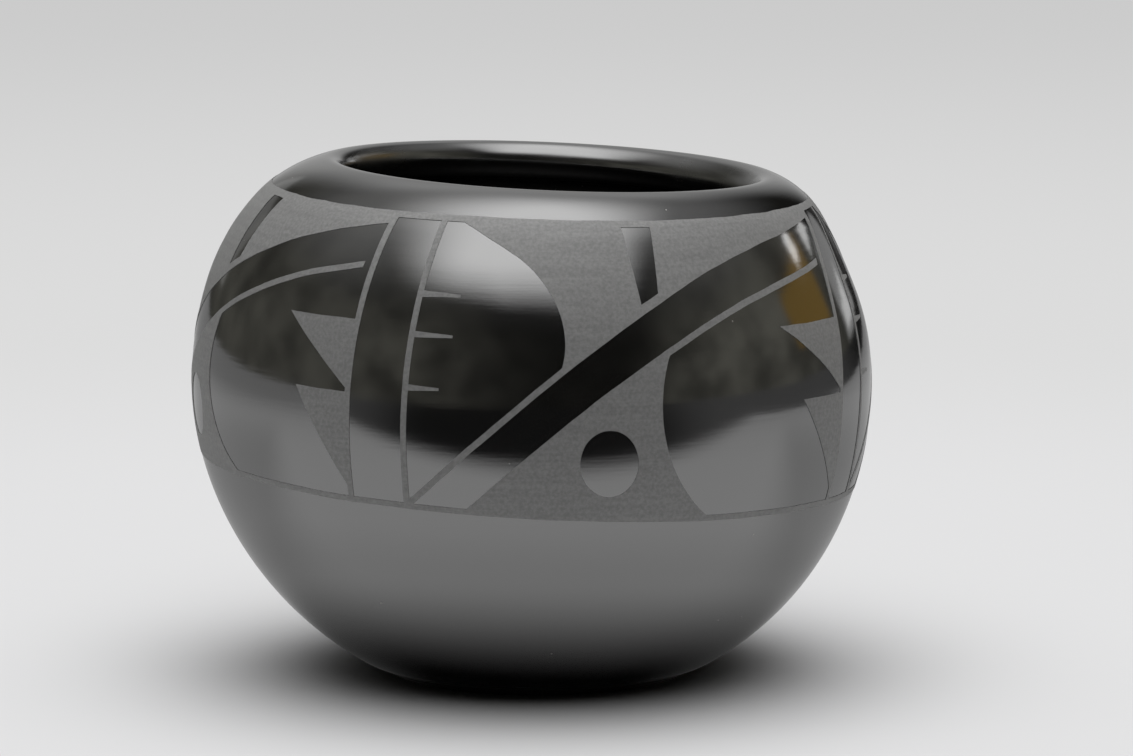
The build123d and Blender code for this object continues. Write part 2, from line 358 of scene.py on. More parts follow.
def tint(tree, share, dark, light):
    """Colour between two, by a share; each of the two is a colour or a socket."""
    ends = [(*end, 1.0) if isinstance(end, tuple) else end for end in (dark, light)]
    feeds = {"Factor": share, 6: ends[0], 7: ends[1]}
    return add_node(tree, "ShaderNodeMix", feeds, data_type="RGBA").outputs[2]


def set_bump(tree, shader, height, depth):
    """Relief of a height from nought to one over a depth in metres."""
    bump = add_node(tree, "ShaderNodeBump", {"Height": height, "Strength": 1.0, "Distance": depth})
    tree.links.new(bump.outputs[0], shader.inputs["Normal"])


# Smoked clay, the finish of all the clay. As in the other two: two tones, a roughness as its change and its least,
# and the depth of the relief in metres.
SMOKED_DARK = (0.005, 0.0049, 0.0046)
SMOKED_LIGHT = (0.016, 0.0154, 0.0142)
SMOKED_ROUGHNESS = (0.25, 0.55)
SMOKED_RELIEF = 0.00012
TONE_SPAN = (0.3, 0.7)
smoked_clay, tree, shader, detail = new_finish("smoked_clay", grain=900.0, stroke=60.0, IOR=1.45)
share = ease(tree, weighted(tree, detail["Grain"], 0.5, detail["Cloud"], 0.5), *TONE_SPAN)
tree.links.new(tint(tree, share, SMOKED_DARK, SMOKED_LIGHT), shader.inputs["Base Color"])
tree.links.new(calc(tree, "MULTIPLY_ADD", detail["Stroke"], *SMOKED_ROUGHNESS), shader.inputs["Roughness"])
set_bump(tree, shader, weighted(tree, detail["Stroke"], 0.6, detail["Grain"], 0.4), SMOKED_RELIEF)

foot_round, foot_turn = corner_round(OUTSIDE, 0.0, -COAT, FOOT_ROUND)
floor_round, floor_turn = corner_round(INSIDE, FLOOR, COAT, FLOOR_ROUND)
base_outside = wall_line(OUTSIDE, foot_turn, lap_turn(0, OUTSIDE, -COAT), -COAT, CLAY_STEP)
base_inside = wall_line(INSIDE, lap_turn(0, INSIDE, COAT), floor_turn, COAT, CLAY_STEP)
foot_flat = [Vector((foot_round[0].x * i / FLAT_RINGS, 0.0)) for i in range(FLAT_RINGS)]
floor_flat = [Vector((floor_round[0].x * i / FLAT_RINGS, FLOOR)) for i in reversed(range(FLAT_RINGS))]
base_section = foot_flat + foot_round + base_outside[1:] + base_inside + floor_round[::-1][1:] + floor_flat
outside_count = len(foot_flat) + len(foot_round) + len(base_outside) - 1
inside_mark = [0.0] * (outside_count + 1) + [1.0] * (len(base_section) - outside_count - 1)
clay_base = turned_piece("clay_base", base_section, inside_mark, "inside", False, CLAY_SEGMENTS, smoked_clay)
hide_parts("base_pat")

# Wall coils: seven ropes of clay laid round one on another, lapped, pinched together and scraped thin with a gourd.
# The outside is smoothed away under the slip; inside, the courses still show as low swells.
COIL_SWELL = 0.30
SWELL_END = math.radians(22.0)
SWELL_FADE = math.radians(6.0)
for number in range(1, COURSES):
    coil_outside = wall_line(
        OUTSIDE, lap_turn(number - 1, OUTSIDE, -COAT), lap_turn(number, OUTSIDE, -COAT), -COAT, CLAY_STEP
    )
    coil_turns = even_turns(lap_turn(number, INSIDE, COAT), lap_turn(number - 1, INSIDE, COAT), CLAY_STEP)
    coil_inside = []
    for i, turn in enumerate(coil_turns):
        fade = max(0.0, min(1.0, (SWELL_END - turn) / SWELL_FADE))
        swell = COIL_SWELL * fade * math.sin(math.pi * i / (len(coil_turns) - 1))
        coil_inside.append(wall_point(INSIDE, turn, COAT - swell))
    inside_mark = [0.0] * len(coil_outside)
    for i, turn in enumerate(coil_turns):
        inside_mark.append(0.0 if i in (0, len(coil_turns) - 1) or turn > SWELL_END else 1.0)
    coil = turned_piece(
        f"clay_coil_{number}", coil_outside + coil_inside, inside_mark, "inside", True, CLAY_SEGMENTS, smoked_clay
    )
    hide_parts(f"wall_coil_{number}")

# Rim coil: the last rope, drawn inward over the shoulder and rounded to a full lip with a strip of wet hide.
# Fired clay; all of it lies under the slip.
LIP_STEP = math.radians(9.0)
rim_section = wall_line(OUTSIDE, lap_turn(COURSES - 1, OUTSIDE, -COAT), LIP_LEAN, -COAT, CLAY_STEP)
rim_section += wall_line(OUTSIDE, LIP_LEAN, lip_end, -COAT, LIP_STEP)[1:]
rim_section += wall_line(INSIDE, roll_turn, lap_turn(COURSES - 1, INSIDE, COAT), COAT, CLAY_STEP)[1:]
clay_rim = turned_piece(
    "clay_rim", rim_section, [0.0] * len(rim_section), "inside", True, CLAY_SEGMENTS, smoked_clay
)
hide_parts("rim_coil")

# Burnished coat: fine red slip brushed over the outside and the lip, rubbed with a smooth stone until it shines, and
# turned black in a smothered fire. It thins out at the foot and a little way inside the mouth.
COAT_EDGE = 2.0
COAT_INSIDE = 24.0
COAT_SEGMENTS = 384
FACE_STEP = math.radians(1.25)
INNER_STEP = math.radians(2.5)
BACK_STEP = math.radians(5.0)
COAT_LIP_STEP = math.radians(7.5)
FEATHER = math.radians(3.0)
FEATHER_DEPTH = 0.34
RUBBED_INSIDE = 0.55
INNER_RUB = math.radians(40.0)

coat_foot = math.asin((COAT_EDGE - BELLY_HEIGHT) / bowl_arc)
coat_end = math.asin((JAR_HEIGHT - COAT_INSIDE - BELLY_HEIGHT) / (wall_arc - WALL))
coat_section = []
coat_mark = []
for turn in even_turns(coat_foot, LIP_LEAN, FACE_STEP):
    share = min(1.0, (turn - coat_foot) / FEATHER)
    coat_section.append(wall_point(OUTSIDE, turn, -FEATHER_DEPTH * (1 - share) ** 2))
    coat_mark.append(share)
for turn in even_turns(LIP_LEAN, lip_end, COAT_LIP_STEP)[1:]:
    share = max(0.0, min(1.0, (turn - math.pi / 2) / INNER_RUB))
    coat_section.append(wall_point(OUTSIDE, turn, 0.0))
    coat_mark.append(1.0 + (RUBBED_INSIDE - 1.0) * share)
for turn in even_turns(roll_turn, coat_end, INNER_STEP)[1:]:
    share = min(1.0, (turn - coat_end) / (2 * FEATHER))
    coat_section.append(wall_point(INSIDE, turn, FEATHER_DEPTH * (1 - share) ** 2))
    coat_mark.append(RUBBED_INSIDE * share)
coat_back = wall_line(INSIDE, coat_end, roll_turn, COAT, BACK_STEP)
coat_back += wall_line(OUTSIDE, lip_end, LIP_LEAN, -COAT, 2 * COAT_LIP_STEP)[1:-1]
coat_back += wall_line(OUTSIDE, LIP_LEAN, coat_foot, -COAT, BACK_STEP)
coat_section += coat_back
coat_mark += [0.0] * len(coat_back)

BURNISH_DARK = (0.0036, 0.0035, 0.0034)
BURNISH_LIGHT = (0.0080, 0.0078, 0.0074)
DULL = (0.0065, 0.0063, 0.0060)
SPECK_COLOUR = (0.20, 0.19, 0.17)
RUB_CLOUD = 0.7
RUBBED_SPAN = (0.25, 0.75)
SHEEN = (0.08, 0.065)
SHEEN_CLOUD = 0.05
SHEEN_DULL = 0.35
SHEEN_SPECK = 0.4
BURNISH_RELIEF = 0.000018
burnished, tree, shader, detail = new_finish("burnished_black_slip", grain=1500.0, stroke=30.0, IOR=2.9)
mark = add_node(tree, "ShaderNodeAttribute", attribute_name="burnish").outputs["Fac"]
mark = calc(tree, "ADD", mark, calc(tree, "MULTIPLY_ADD", detail["Cloud"], RUB_CLOUD, -RUB_CLOUD / 2))
rubbed = ease(tree, mark, *RUBBED_SPAN)
colour = tint(tree, rubbed, DULL, tint(tree, detail["Cloud"], BURNISH_DARK, BURNISH_LIGHT))
tree.links.new(tint(tree, detail["Speck"], colour, SPECK_COLOUR), shader.inputs["Base Color"])
sheen = calc(tree, "MULTIPLY_ADD", detail["Stroke"], *SHEEN)
sheen = calc(tree, "MULTIPLY_ADD", calc(tree, "SUBTRACT", detail["Cloud"], 0.5), SHEEN_CLOUD, sheen)
sheen = calc(tree, "MULTIPLY_ADD", calc(tree, "SUBTRACT", 1.0, rubbed), SHEEN_DULL, sheen)
sheen = calc(tree, "MULTIPLY_ADD", detail["Speck"], SHEEN_SPECK, sheen)
tree.links.new(sheen, shader.inputs["Roughness"])
set_bump(tree, shader, weighted(tree, detail["Stroke"], 0.75, detail["Grain"], 0.25), BURNISH_RELIEF)
coat = turned_piece("burnished_jar_coat", coat_section, coat_mark, "burnish", True, COAT_SEGMENTS, burnished)
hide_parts("burnished_coat")

# Border lines: two rings of thin clay slip drawn with a chewed yucca brush while the jar is turned by hand, one under
# the rim and one under the belly. The slip fires to a flat matte grey on the shine.
RIM_ZONE = 5.3
BAND_DROP = 20.6
BORDER_LINE = 1.3
FILM = 0.10
FILM_SEAT = 0.01
LAY_RADIUS = 100.0
LAY_REACH = 0.2
STROKE_WELD = 1e-6
BORDER_STEPS = 720

# The band as the hand lays it: it falls to the right, the front panel is wider at its right end and leans over there
# at the top, the lines at its left end lean a little too, and every edge wavers with the brush.
BAND_TILT = (4.4, 2.0)
SPREAD = math.radians(3.6)
SPREAD_PLACE = math.radians(62.0)
SPREAD_WIDTH = math.radians(34.0)
LEAN = math.radians(11.0)
LEAN_WIDTH = (math.radians(24.0), math.radians(28.0))
SWAY = math.radians(3.4)
SWAY_PLACE = math.radians(-21.0)
SWAY_WIDTH = math.radians(30.0)
LEAN_POWER = 3.0
BRUSH_WAVER = 0.50
WAVER_SWELLS = 70.0
BRUSH_EDGE = 0.10
EDGE_SWELLS = 420.0
NOISE_MIDDLE = (0.5, 0.5, 0.5)
band_top = JAR_HEIGHT - RIM_ZONE
band_bottom = BELLY_HEIGHT - BAND_DROP

laid, feed, out = new_tree(
    "laid_on_the_coat",
    "GeometryNodeTree",
    {
        "Stroke": "Geometry",
        "Repeats": "Int",
        "Coat": "Object",
        "Seat": "Float",
        "Lay radius": "Float",
        "Band bottom": "Float",
        "Band top": "Float",
        "Low tilt": "Float",
        "High tilt": "Float",
        "Spread": "Float",
        "Spread place": "Float",
        "Spread width": "Float",
        "Lean": "Float",
        "Lean before": "Float",
        "Lean after": "Float",
        "Sway": "Float",
        "Sway place": "Float",
        "Sway width": "Float",
        "Waver": "Float",
        "Edge": "Float",
        "Material": "Material",
    },
    {"Geometry": "Geometry"},
)
spokes = add_node(laid, "GeometryNodePoints", {"Count": feed["Repeats"]}).outputs[0]
number = add_node(laid, "GeometryNodeInputIndex").outputs[0]
turn = calc(laid, "DIVIDE", calc(laid, "MULTIPLY", number, math.tau), feed["Repeats"])
turn = add_node(laid, "ShaderNodeCombineXYZ", {"Z": turn}).outputs[0]
strokes = add_node(
    laid, "GeometryNodeInstanceOnPoints", {"Points": spokes, "Instance": feed["Stroke"], "Rotation": turn}
).outputs[0]
strokes = add_node(laid, "GeometryNodeRealizeInstances", {"Geometry": strokes}).outputs[0]
strokes = add_node(laid, "GeometryNodeMergeByDistance", {"Geometry": strokes, "Distance": STROKE_WELD}).outputs[0]
place = add_node(laid, "GeometryNodeInputPosition").outputs[0]
x, y, z = add_node(laid, "ShaderNodeSeparateXYZ", {0: place}).outputs
azimuth = calc(laid, "ARCTAN2", x, calc(laid, "MULTIPLY", y, -1.0))
up = add_node(
    laid, "ShaderNodeMapRange", {"Value": z, "From Min": feed["Band bottom"], "From Max": feed["Band top"]}
).outputs[0]
tilt = calc(laid, "SUBTRACT", feed["High tilt"], feed["Low tilt"])
tilt = calc(laid, "MULTIPLY_ADD", tilt, up, feed["Low tilt"])
lower = calc(laid, "MULTIPLY", calc(laid, "SINE", azimuth), tilt)
upper = calc(laid, "POWER", up, LEAN_POWER)
leaning = calc(laid, "MULTIPLY", upper, feed["Lean"])
swaying = calc(laid, "MULTIPLY", upper, feed["Sway"])
aside = 0.0
for middle, left, right, much in (
    (feed["Spread place"], feed["Spread width"], feed["Spread width"], feed["Spread"]),
    (feed["Spread place"], feed["Lean before"], feed["Lean after"], leaning),
    (feed["Sway place"], feed["Sway width"], feed["Sway width"], swaying),
):
    before = ease(laid, azimuth, calc(laid, "SUBTRACT", middle, left), middle)
    after = ease(laid, azimuth, middle, calc(laid, "ADD", middle, right), 1.0, 0.0)
    aside = calc(laid, "MULTIPLY_ADD", calc(laid, "MULTIPLY", before, after), much, aside)
azimuth = calc(laid, "ADD", azimuth, aside)
side = calc(laid, "MULTIPLY", calc(laid, "SINE", azimuth), feed["Lay radius"])
depth = calc(laid, "MULTIPLY", calc(laid, "COSINE", azimuth), -1.0)
depth = calc(laid, "MULTIPLY", depth, feed["Lay radius"])
height = calc(laid, "SUBTRACT", z, lower)
around = add_node(laid, "ShaderNodeCombineXYZ", {"X": side, "Y": depth, "Z": height}).outputs[0]
drift = vector_calc(laid, "SUBTRACT", noise(laid, around, WAVER_SWELLS, 1.0).outputs["Color"], NOISE_MIDDLE)
ragged = vector_calc(laid, "SUBTRACT", noise(laid, around, EDGE_SWELLS, 1.0).outputs["Color"], NOISE_MIDDLE)
around = vector_calc(laid, "MULTIPLY_ADD", drift, feed["Waver"], around)
around = vector_calc(laid, "MULTIPLY_ADD", ragged, feed["Edge"], around)
strokes = add_node(laid, "GeometryNodeSetPosition", {"Geometry": strokes, "Position": around}).outputs[0]
ground = add_node(laid, "GeometryNodeObjectInfo", {"Object": feed["Coat"]}, transform_space="RELATIVE")
place = add_node(laid, "GeometryNodeInputPosition").outputs[0]
inward = vector_calc(laid, "MULTIPLY", place, (-1.0, -1.0, 0.0))
touch = add_node(
    laid,
    "GeometryNodeRaycast",
    {
        "Target Geometry": ground.outputs["Geometry"],
        "Source Position": place,
        "Ray Direction": inward,
        "Ray Length": LAY_REACH,
    },
).outputs
seated = vector_calc(laid, "MULTIPLY_ADD", touch["Hit Normal"], feed["Seat"], touch["Hit Position"])
strokes = add_node(laid, "GeometryNodeSetPosition", {"Geometry": strokes, "Position": seated}).outputs[0]
strokes = add_node(laid, "GeometryNodeRealizeInstances", {"Geometry": strokes}).outputs[0]
strokes = add_node(laid, "GeometryNodeSetMaterial", {"Geometry": strokes, "Material": feed["Material"]}).outputs[0]
laid.links.new(strokes, out["Geometry"])

MATTE_DARK = (0.190, 0.190, 0.188)
MATTE_LIGHT = (0.280, 0.279, 0.275)
MATTE_ROUGHNESS = (0.12, 0.48)
MATTE_RELIEF = 0.00002
matte, tree, shader, detail = new_finish("matte_grey_slip", grain=1300.0, stroke=45.0, IOR=1.55)
share = ease(tree, weighted(tree, detail["Stroke"], 0.30, detail["Grain"], 0.70), *TONE_SPAN)
tree.links.new(tint(tree, share, MATTE_DARK, MATTE_LIGHT), shader.inputs["Base Color"])
tree.links.new(calc(tree, "MULTIPLY_ADD", detail["Grain"], *MATTE_ROUGHNESS), shader.inputs["Roughness"])
set_bump(tree, shader, weighted(tree, detail["Grain"], 0.7, detail["Stroke"], 0.3), MATTE_RELIEF)


def laid_strokes(name, host, repeats):
    """Painted strokes on the coat from one flat host that lies round the jar, with their film of slip."""
    sizes = {
        "Repeats": repeats,
        "Coat": coat,
        "Seat": FILM_SEAT * MM,
        "Lay radius": LAY_RADIUS * MM,
        "Band bottom": band_bottom * MM,
        "Band top": band_top * MM,
        "Low tilt": BAND_TILT[0] * MM,
        "High tilt": BAND_TILT[1] * MM,
        "Spread": SPREAD,
        "Spread place": SPREAD_PLACE,
        "Spread width": SPREAD_WIDTH,
        "Lean": LEAN,
        "Lean before": LEAN_WIDTH[0],
        "Lean after": LEAN_WIDTH[1],
        "Sway": SWAY,
        "Sway place": SWAY_PLACE,
        "Sway width": SWAY_WIDTH,
        "Waver": BRUSH_WAVER * MM,
        "Edge": BRUSH_EDGE * MM,
        "Material": matte,
    }
    strokes = made_piece(name, host, laid, sizes, FILM * MM)
    return strokes


def lay_point(azimuth, height):
    """Point on the lay cylinder, which stands clear round the jar."""
    return LAY_RADIUS * MM * math.sin(azimuth), -LAY_RADIUS * MM * math.cos(azimuth), height * MM


def border_host(name, low):
    """Level ring one border line high, as faces on the lay cylinder."""
    host = bpy.data.meshes.new(name)
    points = []
    faces = []
    for i in range(BORDER_STEPS):
        azimuth = math.tau * i / BORDER_STEPS
        points += [lay_point(azimuth, low + BORDER_LINE * share) for share in (0.0, 0.5, 1.0)]
        here = 3 * i
        there = 3 * ((i + 1) % BORDER_STEPS)
        faces += [(here + k, there + k, there + k + 1, here + k + 1) for k in (0, 1)]
    host.from_pydata(points, [], faces)
    return host


border_top = laid_strokes("border_line_top", border_host("border_top_ring", band_top - BORDER_LINE), 1)
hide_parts("top_border")
border_low = laid_strokes("border_line_bottom", border_host("border_low_ring", band_bottom), 1)
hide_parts("bottom_border")

# Toothed lines: an upright brush line at the left end of each panel, with two filled teeth hanging on its left side.
# The same matte slip, each line drawn first and its teeth filled in from it.
BRUSH_LINE = 1.4
PANELS = 4
PANEL_TURN = math.radians(14.0)
TOOTH_HEIGHTS = ((0.640, 0.405), (0.390, 0.060))
TOOTH_REACH = (18.0, 14.0)
LINE_PAST = 1.0
PAINT_STEP = 1.0
FILL_STEP = 1.25
FILL_CLEAR = 0.6
FILL_WELD = 1e-5
panel_angle = math.tau / PANELS
half_line = BRUSH_LINE / 2
field_low = band_bottom + BORDER_LINE
field_high = band_top - BORDER_LINE


def band_height(share):
    """Height of a share of the painted band."""
    return band_bottom + share * (band_top - band_bottom)


def wall_radius(height):
    """Finished outer radius of the jar at a height."""
    for centre, radius, last in OUTSIDE[:3]:
        turn = math.asin(max(-1.0, min(1.0, (height - centre.y) / radius)))
        if turn <= last:
            break
    return centre.x + radius * math.cos(turn)


def dense(outline):
    """Closed outline with points no further apart than a brush step."""
    points = []
    for here, there in zip(outline, outline[1:] + outline[:1]):
        count = max(1, math.ceil((there - here).length / PAINT_STEP))
        points += [here.lerp(there, i / count) for i in range(count)]
    return points


def trimmed(outline, side):
    """Outline cut back to where a side function of a point is not below nought."""
    kept = []
    for here, there in zip(outline, outline[1:] + outline[:1]):
        a, b = side(here), side(there)
        if a >= 0:
            kept.append(here)
        if a * b < 0:
            kept.append(here.lerp(there, a / (a - b)))
    return kept


def in_field(outline):
    """Outline between the two border lines."""
    outline = trimmed(dense(outline), lambda p: p.y - field_low)
    return dense(trimmed(outline, lambda p: field_high - p.y))


def within(point, outline):
    """Whether a point lies inside a closed outline."""
    inside = False
    for a, b in zip(outline, outline[1:] + outline[:1]):
        if (a.y > point.y) != (b.y > point.y):
            if point.x < a.x + (point.y - a.y) * (b.x - a.x) / (b.y - a.y):
                inside = not inside
    return inside


def filled(outline, hole=()):
    """Flat triangles that fill an outline round a hole, with even points inside for the wall's curve."""
    edge_points = list(outline) + list(hole)
    count = len(outline)
    edges = [(i, (i + 1) % count) for i in range(count)]
    edges += [(count + i, count + (i + 1) % len(hole)) for i in range(len(hole))]
    low = Vector((min(p.x for p in outline), min(p.y for p in outline)))
    high = Vector((max(p.x for p in outline), max(p.y for p in outline)))
    points = list(edge_points)
    for row in range(int((high.y - low.y) / FILL_STEP) + 1):
        for column in range(int((high.x - low.x) / FILL_STEP) + 1):
            point = low + Vector((column + 0.5 * (row % 2) + 0.25, row + 0.5)) * FILL_STEP
            if within(point, outline) and not (hole and within(point, hole)):
                if min((point - p).length for p in edge_points) > FILL_CLEAR * FILL_STEP:
                    points.append(point)
    flat, _, faces, _, _, _ = delaunay_2d_cdt(points, edges, [], 1, FILL_WELD)
    kept = []
    for face in faces:
        middle = sum((flat[i] for i in face), Vector((0.0, 0.0))) / len(face)
        if within(middle, outline) and not (hole and within(middle, hole)):
            kept.append(face)
    return flat, kept


def stroke_host(name, azimuth, shapes):
    """Filled shapes of a stencil that faces the wall at an azimuth, carried out to the lay cylinder."""
    host = bpy.data.meshes.new(name)
    points = []
    faces = []
    for flat, triangles in shapes:
        start = len(points)
        for p in flat:
            turn = azimuth + math.asin(max(-1.0, min(1.0, p.x / wall_radius(p.y))))
            points.append(lay_point(turn, p.y))
        faces += [[start + i for i in face] for face in triangles]
    host.from_pydata(points, [], faces)
    return host


def corners(*places):
    """Outline from its corners."""
    return [Vector(place) for place in places]


def panel_nodes(name):
    """Names of the strokes that one stencil gives, one in each panel."""
    return [f"{name}_{number + 1}" for number in range(PANELS)]


line_low = field_low - LINE_PAST
line_high = field_high + LINE_PAST
toothed = corners((half_line, line_low), (half_line, line_high), (-half_line, line_high))
for (top_share, tip_share), reach in zip(TOOTH_HEIGHTS, TOOTH_REACH):
    toothed += corners(
        (-half_line, band_height(top_share)),
        (-half_line - reach, band_height(top_share)),
        (-half_line, band_height(tip_share)),
    )
toothed += corners((-half_line, line_low))
line_turn = PANEL_TURN - panel_angle / 2
toothed_lines = laid_strokes(
    "toothed_lines", stroke_host("toothed_stencil", line_turn, [filled(in_field(toothed))]), PANELS
)
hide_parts(*panel_nodes("toothed_line"))

# Ticked lines: a second upright line a little way to the right of each toothed one, with three short strokes flicked
# off to its right. Matte slip; each tick thins to where the brush was lifted.
TICK_PLACE = 0.114
TICK_HEIGHTS = (0.745, 0.610, 0.430)
TICK_REACH = (9.0, 9.0, 7.2)
TICK_TIP = 0.6
ticked = corners((-half_line, line_high), (-half_line, line_low), (half_line, line_low))
for share, reach in sorted(zip(TICK_HEIGHTS, TICK_REACH)):
    height = band_height(share)
    ticked += corners(
        (half_line, height - half_line),
        (half_line + reach, height - TICK_TIP / 2),
        (half_line + reach, height + TICK_TIP / 2),
        (half_line, height + half_line),
    )
ticked += corners((half_line, line_high))
tick_turn = PANEL_TURN + (TICK_PLACE - 0.5) * panel_angle
ticked_lines = laid_strokes(
    "ticked_lines", stroke_host("ticked_stencil", tick_turn, [filled(in_field(ticked))]), PANELS
)
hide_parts(*panel_nodes("ticked_line"))

# Leaf fields: the matte ground in the upper part of each panel, washed in round a half leaf and a short stub that are
# left shining, and closed below by the sloping bar. Its tail runs on as a brush line to the foot of the ticked line.
LEAF_TOP = (0.125, 1.0)
LEAF_BEND = (0.309, 0.882)
LEAF_SIDE = (0.392, 0.740)
LEAF_FOOT = 0.42
BAR_TOP_EDGE = ((0.114, 0.0), (0.461, 0.581), (1.0, 0.962))
STUB_TOP = (0.547, 0.619)
STUB_END = (0.628, 0.672)
STUB_GAP = 2.0
FIELD_PAST = 3.0


def spot(across, up):
    """Point of a panel in its stencil: a share of the panel's turn and of the band's height."""
    height = band_height(up)
    return Vector((wall_radius(height) * math.sin((across - 0.5) * panel_angle), height))


def arc_through(start, middle, end):
    """Centre, radius, first angle and sweep of the circle through three places."""
    a, b = middle - start, end - start
    size = 2 * (a.x * b.y - a.y * b.x)
    centre = start + Vector((
        (b.y * a.length_squared - a.y * b.length_squared) / size,
        (a.x * b.length_squared - b.x * a.length_squared) / size,
    ))
    first, half, last = (math.atan2(p.y - centre.y, p.x - centre.x) for p in (start, middle, end))
    sweep = (last - first) % math.tau
    if (half - first) % math.tau > sweep:
        sweep -= math.tau
    return centre, (start - centre).length, first, sweep


def along(arc, first, last, out=0.0):
    """Points along shares of an arc, a brush step apart, moved out from its centre."""
    centre, radius, start, sweep = arc
    count = max(1, math.ceil(abs(sweep * (last - first)) * radius / PAINT_STEP))
    turns = [start + sweep * (first + (last - first) * i / count) for i in range(count + 1)]
    return [centre + Vector((math.cos(t), math.sin(t))) * (radius + out) for t in turns]


def beside_line(turn, way):
    """Side function of an upright line at a turn from the panel's middle: how far a point lies past its edge."""

    def past(point):
        radius = wall_radius(point.y)
        own = math.asin(max(-1.0, min(1.0, point.x / radius)))
        return radius * math.sin(own - turn) * way - half_line

    return past


bar_top = arc_through(*[spot(*place) for place in BAR_TOP_EDGE])
tail = along(bar_top, LEAF_FOOT, 0.0, BRUSH_LINE)
leaf_edge = arc_through(spot(*LEAF_BEND), spot(*LEAF_SIDE), tail[0])
roof = field_high + FIELD_PAST
leaf_top = spot(*LEAF_TOP)
stub_left, stub_right = [spot(place, 1.0) for place in STUB_TOP]
stub_ends = [along(bar_top, share, share, STUB_GAP)[0] for share in STUB_END]
leaf = along(bar_top, 0.0, 1.0)
leaf += corners((leaf[-1].x, roof), (stub_right.x, roof))
leaf += [stub_right, stub_ends[1], stub_ends[0], stub_left]
leaf += corners((stub_left.x, roof), (leaf_top.x, roof))
leaf += [leaf_top] + along(leaf_edge, 0.0, 1.0) + tail[1:]
leaf = trimmed(in_field(leaf), beside_line(tick_turn - PANEL_TURN, 1))
leaf = dense(trimmed(leaf, beside_line(panel_angle / 2, -1)))
leaf_fields = laid_strokes("leaf_fields", stroke_host("leaf_stencil", PANEL_TURN, [filled(leaf)]), PANELS)
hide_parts(*panel_nodes("leaf_field"))

# Dot fields: the matte ground in the lower part of each panel, between the bar, a round lobe and the bottom line,
# with one dot left shining. Its upper edge runs on over the lobe as a brush line with a free end.
BAR_LOW_EDGE = ((0.216, 0.0), (0.604, 0.590), (0.980, 0.832))
LOBE_TOP = 0.60
LOBE_SIDE = (0.586, 0.405)
LOBE_FOOT = 0.703
DOT_PLACE = (0.488, 0.203)
DOT_HALF_WIDTH = 6.7
DOT_HALF_HEIGHT = 7.6
bar_low = arc_through(*[spot(*place) for place in BAR_LOW_EDGE])
over_lobe = along(bar_low, 1.0, LOBE_TOP, -BRUSH_LINE)
lobe = arc_through(over_lobe[-1], spot(*LOBE_SIDE), spot(LOBE_FOOT, 0.0))
lower_field = along(bar_low, 0.0, 1.0) + over_lobe + along(lobe, 0.0, 1.0)[1:]
dot_count = round(math.pi * (DOT_HALF_WIDTH + DOT_HALF_HEIGHT) / PAINT_STEP)
dot_middle = spot(*DOT_PLACE)
dot = []
for i in range(dot_count):
    turn = math.tau * i / dot_count
    dot.append(dot_middle + Vector((DOT_HALF_WIDTH * math.cos(turn), DOT_HALF_HEIGHT * math.sin(turn))))
lower_field = in_field(lower_field[::-1])
dot_fields = laid_strokes(
    "dot_fields", stroke_host("dot_stencil", PANEL_TURN, [filled(lower_field, dot)]), PANELS
)
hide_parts(*panel_nodes("dot_field"))

# Table, light and camera: a sheet of pale paper under a broad soft light, in a dim room that the shine picks up.
# None of it belongs to the jar. Rays of the shine see paper and room as light of a given strength, and on the paper a
# painted shadow round the foot and painted shade beside the jar; all rays but the camera's see a painted dim floor
# past the paper's front and right edges. All else is lit by the soft light, and the camera sees the far paper fade
# into the room.
scene = bpy.context.scene
scene.view_settings.view_transform = "Standard"

# The paper. A span is where one light passes into another, in metres from the jar's middle; the pair of lights that
# goes with it is at its near and its far end.
PAPER_RADIUS = 6.0
PAPER_CORNERS = 96
PAPER = (0.660, 0.660, 0.665)
PAPER_ROUGHNESS = 0.9
PAPER_SHEEN = 0.1
PAPER_FADE = (0.25, 0.60)
SEEN_SPAN = (0.50, 2.0)
SEEN_LIGHT = (0.72, 0.60)
# Painted light and shadow: seen in the shine, the paper glows at a level that fades with distance, and darkens to
# nought round the foot as a painted shadow of the jar.
SHINE_SPAN = (0.15, 1.0)
SHINE_LIGHT = (0.70, 0.36)
FOOT_SHADE = (0.042, 0.086)
NEAR_SHADE = (0.08, 0.13)
NEAR_LIGHT = 0.84
# Painted dim floor: past the paper's front and right edges all rays but the camera's see a dim glow, darker ahead and
# lighter to the sides, in place of a dark floor.
ROOM_FRONT = 0.012
ROOM_ASIDE = 0.13
ASIDE_SPAN = (0.55, 0.95)
PAPER_FRONT = -0.228
PAPER_SLANT = 0.12
PAPER_RIGHT = 0.57
FRONT_BLUR = 0.05
RIGHT_BLUR = 0.03
# Painted shade: seen in the shine, the paper close beside and behind the jar is darker.
SIDE_DIM = 0.36
SIDE_START = (-0.06, 0.0)
SIDE_SPAN = (0.20, 0.50)

floor_mesh = bpy.data.meshes.new("paper")
floor_points = []
for i in range(PAPER_CORNERS):
    turn = math.tau * i / PAPER_CORNERS
    floor_points.append((PAPER_RADIUS * math.cos(turn), PAPER_RADIUS * math.sin(turn), 0.0))
floor_mesh.from_pydata(floor_points, [], [list(range(PAPER_CORNERS))])
paper_floor = bpy.data.objects.new("paper_floor", floor_mesh)
scene.collection.objects.link(paper_floor)
paper = bpy.data.materials.new("pale_paper")
paper.use_nodes = True
tree = paper.node_tree
shader = tree.nodes["Principled BSDF"]
shader.inputs["Base Color"].default_value = (*PAPER, 1.0)
shader.inputs["Roughness"].default_value = PAPER_ROUGHNESS
shader.inputs["Specular IOR Level"].default_value = PAPER_SHEEN
where = add_node(tree, "ShaderNodeTexCoord").outputs["Object"]
x, y, _ = add_node(tree, "ShaderNodeSeparateXYZ", {0: where}).outputs
light_path = add_node(tree, "ShaderNodeLightPath").outputs
shine = light_path["Is Glossy Ray"]
